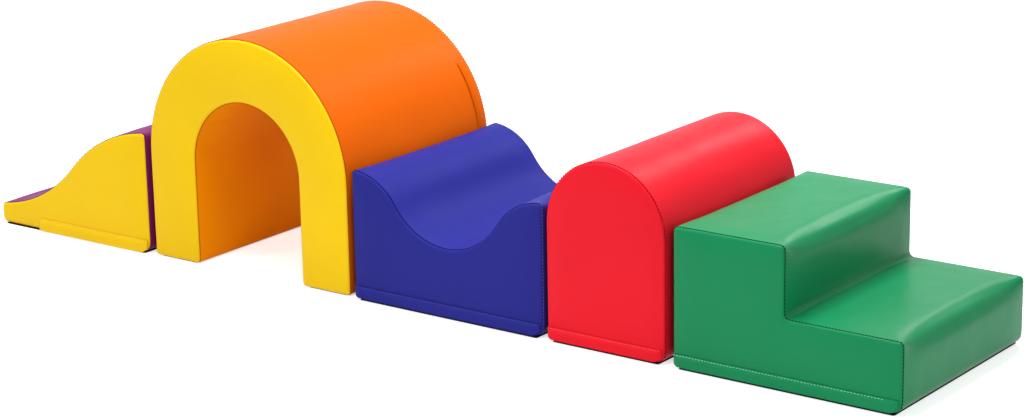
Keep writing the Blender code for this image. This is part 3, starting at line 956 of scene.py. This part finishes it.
def make_flap(block, raised):
    """A solid block's flap, which hangs over its zip down to this far above the hem."""
    low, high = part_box(block + "_zip_flap")
    left, right = ends(block)
    low.x = max(left + FLAP_INSET, low.x - FLAP_INSET)
    high.x = right - FLAP_INSET
    length, drop = high.x - low.x, FLAP_TOP - raised
    place = ((low.x + high.x) / 2, PANEL, HEM + (FLAP_TOP + raised) / 2)
    flap = plane(block + "_cover_flap", place, (length, drop), (math.pi / 2, 0.0, 0.0))
    take_up(flap)
    divide(along("z"), FLAP_ROWS)
    divide(along("x"), round(length / FLAP_CELL))
    put_down()
    most = max(height for _, height in FLAP_LINE)

    def from_end(p):
        return min(p.x - low.x, high.x - p.x)

    def rise(p):
        share = FLAP_END_SHARE + (1.0 - FLAP_END_SHARE) * ease(from_end(p) / FLAP_END)
        return flap_height(p.z - HEM) / most * share

    def loose(p):
        return ease((FLAP_TOP - (p.z - HEM)) / drop) * ease(from_end(p) / LOOSE_FADE)

    def lift(p):
        """How far the free edge follows the block's rounded feet."""
        up = 0.0
        for foot, past in ((LEFT_FOOT, left + LEFT_FOOT - p.x), (RIGHT_FOOT, p.x - right + RIGHT_FOOT)):
            if past > 0.0:
                up = foot - math.sqrt(max(0.0, foot * foot - past * past))
        return up * (HEM + FLAP_TOP - p.z) / drop / FLAP_TOP

    weigh(flap, "lifted", lift)
    weigh(flap, "raised", rise)
    weigh(flap, "loose edge", loose)
    add(flap, "DISPLACE", direction="Y", strength=-most, mid_level=0.0, vertex_group="raised")
    add(flap, "DISPLACE", direction="Z", strength=FLAP_TOP, mid_level=0.0, vertex_group="lifted")
    refine(flap)
    soften(flap, "loose edge", FLAP_WAVE_SIZE, FLAP_WAVE)
    thicken(flap, CLOTH, CUT_EDGE)
    flap.vertex_groups.clear()
    return flap


for block, slot, raised in (
    ("slide", "yellow_cover", SLIDE_RAISE),
    ("wave", "blue_cover", FLAP_RAISE),
    ("bump", "red_cover", FLAP_RAISE),
    ("steps", "green_cover", FLAP_RAISE),
):
    set_on(make_flap(block, raised), CLOTHS[slot], block + "_flap", slot,
           block + "_zip_flap", angle=CUT_ANGLE)

# Tunnel zip: the same coil zip and flap, sewn on the outer wrap beside the far seam, from
# the foot of the right leg up over the shoulder of the arch.
TUNNEL_ZIP_FOOT, TUNNEL_ZIP_ANGLE = 0.0518, 37.5
TUNNEL_ZIP_TURN = math.radians(TUNNEL_ZIP_ANGLE)
tunnel_left, tunnel_right = ends("tunnel")
SPRING = TUNNEL_HEIGHT - (tunnel_right - tunnel_left) / 2
TUNNEL_AXIS = ((tunnel_left + tunnel_right) / 2, SPRING)
TUNNEL_RADIUS = tunnel_right - TUNNEL_AXIS[0]
TUNNEL_SEAM = 0.2887    # from the middle line to the zip's edge


def up_the_leg(name, near, far, height):
    """A strip up the right leg and over the shoulder, this far off the wrap, facing out."""
    piece = begin(name, tunnel_right + height, SPRING, near, far, foot=TUNNEL_ZIP_FOOT)
    roll(*TUNNEL_AXIS, TUNNEL_RADIUS, -TUNNEL_ZIP_ANGLE)
    even_out()
    face_out(wrong=lambda normal: normal.x < 0.0)
    return piece


def make_tunnel_tape():
    """The tunnel's woven tape."""
    tape = up_the_leg("tunnel_woven_tape", TUNNEL_SEAM - TAPE_HIGH, TUNNEL_SEAM - TAPE_LOW, FIT)
    put_down()
    thicken(tape, TAPE, TAPE_EDGE)
    return tape


def make_tunnel_flap():
    """The flap over the tunnel's zip, stitched down."""
    flap = up_the_leg("tunnel_cover_flap", TUNNEL_SEAM - FLAP_TOP, TUNNEL_SEAM - FLAP_RAISE, 0.0)
    divide(along("y"), FLAP_ROWS)
    heights = sorted({round(v.co.y, 6) for v in bmesh.from_edit_mesh(flap.data).verts})
    for y in heights:
        pick("VERT", at("y", y))
        bpy.ops.transform.shrink_fatten(value=flap_height(TUNNEL_SEAM - (y - MIDDLE)))
    put_down()
    refine(flap)
    thicken(flap, CLOTH, CUT_EDGE)
    return flap


def stand_up(piece):
    """Turns a piece made along a side panel so that it runs up the tunnel's right leg instead."""
    turn = Matrix(((0.0, -1.0, 0.0), (0.0, 0.0, -1.0), (1.0, 0.0, 0.0))).to_4x4()
    to = Matrix.Translation((tunnel_right, MIDDLE + TUNNEL_SEAM, TUNNEL_ZIP_FOOT))
    piece.data.transform(to @ turn @ Matrix.Translation((0.0, -PANEL, -HEM)))
    piece.data.update()


def make_tunnel_coil():
    """The coil's straight row up the leg, and the row that bends round the arch."""
    leg = SPRING - TUNNEL_ZIP_FOOT
    coil = make_coil("tunnel_zip_coil", COIL_PITCH, leg - COIL_PITCH)
    stand_up(coil)
    arc = make_coil("tunnel_zip_coil_arc", leg, 1.5 * COIL_PITCH)
    stand_up(arc)
    pivot = Matrix.Translation((TUNNEL_AXIS[0], 0.0, TUNNEL_AXIS[1]))
    step = bpy.data.objects.new("step", None)
    bpy.context.scene.collection.objects.link(step)
    turn = Matrix.Rotation(-COIL_PITCH / TUNNEL_RADIUS, 4, "Y")
    step.matrix_world = pivot @ turn @ pivot.inverted()
    bpy.context.view_layer.update()
    add(arc, "ARRAY", count=int(TUNNEL_ZIP_TURN * TUNNEL_RADIUS / COIL_PITCH) - 1,
        use_relative_offset=False, use_object_offset=True, offset_object=step)
    bpy.data.objects.remove(step)
    return join(arc, coil)


def make_tunnel_slider():
    """A slider like the others, set on the leg."""
    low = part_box("tunnel_zip_slider")[0]
    slider = make_slider("wave")
    slider.name = "tunnel_slider_body"
    away = low.z - TUNNEL_ZIP_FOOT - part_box("wave_zip_slider")[0].x
    slider.data.transform(Matrix.Translation((away, 0.0, 0.0)))
    stand_up(slider)
    return slider


set_on(make_tunnel_tape(), WOVEN, "tunnel_block", "zip_tape", "tunnel_zip_tape")
set_on(make_tunnel_coil(), WOVEN, "tunnel_block", "zip_tape", angle=THREAD_CREASE)
set_on(make_tunnel_slider(), METAL, "tunnel_slider", "zip_slider", "tunnel_zip_slider")
set_on(make_tunnel_flap(), CLOTHS["orange_cover"], "tunnel_block", "orange_cover",
       "tunnel_zip_flap", angle=CUT_ANGLE)

# Seams: a row of lockstitch along every seam, and one along the top edge of each flap. The seam
# rows' threads are much darker than their cloth: partly the thread, partly painted shade of the
# seam's groove. The wave's right-edge rows take a lighter copy of its thread, the lit one.
STITCH_PITCH, STITCH_LENGTH, STITCH_RADIUS = 0.0085, 0.0052, 0.0011
GUIDE = 0.002           # width of the strip that a line of stitches is taken from
PROUD = 0.0003
STITCH_WAIST, STITCH_TAPER = 0.4, 0.45  # where a stitch starts to thin, and how thin it ends


def thread(tone, colour):
    """A thread's finish, named after its tone."""
    return plain_finish(tone + " thread", colour, 0.9, scale=1500.0, shine=0.05)


def keep_line(guide, unwanted):
    """Takes all but one edge line of a guide away, and makes a curve of that."""
    pick("VERT", unwanted)
    bpy.ops.mesh.delete(type="VERT")
    put_down()
    choose(guide)
    bpy.ops.object.convert(target="CURVE")
    return bpy.context.object


def seam_line(strip, y, out, keep):
    """The line of a row of stitches along a strip, this far from the middle line, where kept."""
    guide, _ = cut_out(strip, "line", y, y + GUIDE)
    face_out()
    bpy.ops.transform.shrink_fatten(value=out)
    return keep_line(
        guide, lambda corners: abs(corners[0].y - MIDDLE - y) > GUIDE / 2 or not keep(corners[0]))


def sew(name, guide, finish, body, slot):
    """Lays a row of stitches along a line, then takes the line away."""
    bpy.ops.mesh.primitive_cylinder_add(
        vertices=6, radius=STITCH_RADIUS, depth=STITCH_LENGTH, rotation=(0.0, math.pi / 2, 0.0))
    row = settle(name)
    take_up(row)
    divide(along("x"), 3)
    pick("VERT", lambda corners: abs(corners[0].x) > STITCH_LENGTH * STITCH_WAIST)
    bpy.ops.transform.resize(
        value=(1.0, STITCH_TAPER, STITCH_TAPER), center_override=(0.0, 0.0, 0.0))
    put_down()
    add(row, "ARRAY", fit_type="FIT_CURVE", curve=guide, use_relative_offset=False,
        use_constant_offset=True, constant_offset_displace=(STITCH_PITCH, 0.0, 0.0))
    add(row, "CURVE", object=guide, deform_axis="POS_X")
    bpy.data.objects.remove(guide)
    set_on(row, finish, body, slot, angle=THREAD_CREASE)


# Seam threads: the dark ones carry painted shade of the seam's groove in their colour; the lavender one
# is the wave's same blue thread, lit, for its right edges.
GREEN_THREAD_PAINTED_SHADE = thread("shade-painted green", (0.001, 0.018, 0.008))
RED_THREAD_PAINTED_SHADE = thread("shade-painted red", (0.23, 0.004, 0.008))
BLUE_THREAD_PAINTED_SHADE = thread("shade-painted blue", (0.004, 0.004, 0.040))
BLUE_THREAD_LIT_COPY = thread("lit blue", (0.10, 0.10, 0.40))
SLIDE_THREAD_PAINTED_SHADE = thread("shade-painted brown", (0.10, 0.030, 0.010))
TUNNEL_THREAD_PAINTED_SHADE = thread("shade-painted orange", (0.30, 0.045, 0.004))

# The top rows take a thread with painted shade; on the wave the right-edge rows take the lit copy.
for block, strip, cloth_slot, top_thread, edge_thread in (
    ("slide", slide_strip, "purple_cover", SLIDE_THREAD_PAINTED_SHADE, SLIDE_THREAD_PAINTED_SHADE),
    ("wave", wave_strip, "blue_cover", BLUE_THREAD_PAINTED_SHADE, BLUE_THREAD_LIT_COPY),
    ("bump", bump_strip, "red_cover", RED_THREAD_PAINTED_SHADE, RED_THREAD_PAINTED_SHADE),
    ("steps", steps_strip, "green_cover", GREEN_THREAD_PAINTED_SHADE, GREEN_THREAD_PAINTED_SHADE),
):
    edge = ends(block)[1] - CORNER / 2
    for word, side in SIDES:
        place, out = side * (SEAM + PROUD), (PROUD if side < 0 else -STITCH_RADIUS) - SEAM_DEPTH
        line = seam_line(strip, place, out, lambda p: p.x < edge and p.z > 2 * HEM)
        sew(f"{block}_stitches_{word}", line, top_thread, block + "_block", cloth_slot)
        line = seam_line(strip, place, out, lambda p: p.x > edge and p.z > 2 * HEM)
        sew(f"{block}_edge_stitches_{word}", line, edge_thread, block + "_block", cloth_slot)
# The tunnel's rows take its rust thread, darker than the orange cloth: painted shade of the groove.
for name, strip, out, slot in (
    ("tunnel_stitches_", tunnel_strip, PROUD - SEAM_DEPTH, "orange_cover"),
    ("tunnel_lining_stitches_", lining_strip, SEAM_DEPTH - PROUD, "orange_lining"),
):
    for word, side in SIDES:
        line = seam_line(strip, side * (SEAM + PROUD), out, lambda p: p.z > 2 * HEM)
        sew(name + word, line, TUNNEL_THREAD_PAINTED_SHADE, "tunnel_block", slot)
ZIP_END = (
    TUNNEL_AXIS[0] + math.cos(TUNNEL_ZIP_TURN) * TUNNEL_RADIUS,
    SPRING + math.sin(TUNNEL_ZIP_TURN) * TUNNEL_RADIUS,
)
line = seam_line(
    tunnel_strip, TUNNEL_SEAM - FLAP_TOP, CLOTH,
    lambda p: p.x > ZIP_END[0] and TUNNEL_ZIP_FOOT < p.z < ZIP_END[1],
)
sew("tunnel_flap_stitches", line, TUNNEL_THREAD_PAINTED_SHADE, "tunnel_block", "orange_cover")


def flap_row(block, finish, slot):
    """The row of stitches along a flap's upper edge."""
    low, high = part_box(block + "_zip_flap")
    height = flap_height(FLAP_TOP - FLAP_HEM) + CLOTH + PROUD
    place = ((low.x + high.x) / 2, PANEL - height, HEM + FLAP_TOP - FLAP_HEM)
    guide = plane("line", place, (high.x - low.x, GUIDE))
    side = guide.data.vertices[0].co.y
    take_up(guide)
    guide = keep_line(guide, lambda corners: abs(corners[0].y - side) > NEAR_ZERO)
    sew(block + "_flap_stitches", guide, finish, block + "_block", slot)


for block, tone, colour, slot in (
    ("slide", "pale yellow", (0.92, 0.70, 0.12), "yellow_cover"),
    ("wave", "pale blue", (0.07, 0.07, 0.38), "blue_cover"),
    ("bump", "pale red", (0.88, 0.09, 0.10), "red_cover"),
    ("steps", "pale green", (0.25, 0.66, 0.45), "green_cover"),
):
    flap_row(block, thread(tone, colour), slot)

# Studio: a pale floor, white all round for the camera, a large soft light over the row, one on
# each side in front of it, and a small one behind that glances off the steps' rounded edges.
FLOOR_SIZE, PAPER, FLOOR_GLOW = 30.0, 0.82, 0.66
WORLD_LIGHT = 0.34      # on the object; seen directly the world is white


def is_any(tree, *kinds):
    """1 for a ray of one of these kinds, 0 for any other."""
    path = tree.nodes.new("ShaderNodeLightPath")
    found = path.outputs[kinds[0]]
    for kind in kinds[1:]:
        values = {0: found, 1: path.outputs[kind]}
        found = add_node(tree, "Math", "Value", values, operation="MAXIMUM")
    return found


bpy.ops.mesh.primitive_plane_add(size=FLOOR_SIZE)
floor = bpy.context.object
floor.name = "studio_floor"
paper, tree, shader = new_finish("white paper", {
    "Base Color": (PAPER, PAPER, PAPER, 1.0), "Roughness": 0.9, "Specular IOR Level": 0.1,
})
seen = is_any(tree, "Is Camera Ray", "Is Glossy Ray")
dark = add_node(tree, "Emission", "Emission", {"Strength": 0.0})
glow = add_node(tree, "Emission", "Emission", {"Strength": FLOOR_GLOW})
which = add_node(tree, "MixShader", "Shader", {"Fac": seen, 1: dark, 2: glow})
total = add_node(tree, "AddShader", "Shader", {0: shader.outputs["BSDF"], 1: which})
fill_in(tree, tree.nodes["Material Output"], {"Surface": total})
floor.data.materials.append(paper)

world = bpy.data.worlds.new("studio")
bpy.context.scene.world = world
world.use_nodes = True
tree = world.node_tree
seen = is_any(tree, "Is Camera Ray", "Is Glossy Ray", "Is Transmission Ray")
level = add_node(tree, "MapRange", "Result", {"Value": seen, "To Min": WORLD_LIGHT, "To Max": 1.0})
fill_in(tree, tree.nodes["Background"], {"Color": (1.0, 1.0, 1.0, 1.0), "Strength": level})


def softbox(name, place, aim, size, power):
    """A rectangular lamp, aimed at a point."""
    lamp = bpy.data.lights.new(name, "AREA")
    lamp.shape = "RECTANGLE"
    lamp.size, lamp.size_y = size
    lamp.energy = power
    made = bpy.data.objects.new(name, lamp)
    bpy.context.scene.collection.objects.link(made)
    made.location = place
    way = Matrix.Translation(place).inverted() @ Matrix.Translation(aim)
    made.rotation_euler = way.translation.to_track_quat("-Z", "Y").to_euler()


softbox("overhead_softbox", (0.3, -0.1, 3.1), (0.2, -0.1, 0.2), (2.6, 1.4), 116.0)
softbox("key_softbox", (-2.6, -3.6, 2.4), (0.2, -0.3, 0.25), (1.3, 1.3), 47.0)
softbox("side_softbox", (3.6, -2.6, 1.8), (0.6, 0.0, 0.2), (1.6, 1.4), 28.0)
softbox("back_softbox", (0.5, 3.2, 2.6), (0.5, 0.0, 0.3), (1.0, 0.6), 24.0)

bpy.context.scene.view_settings.view_transform = "Standard"
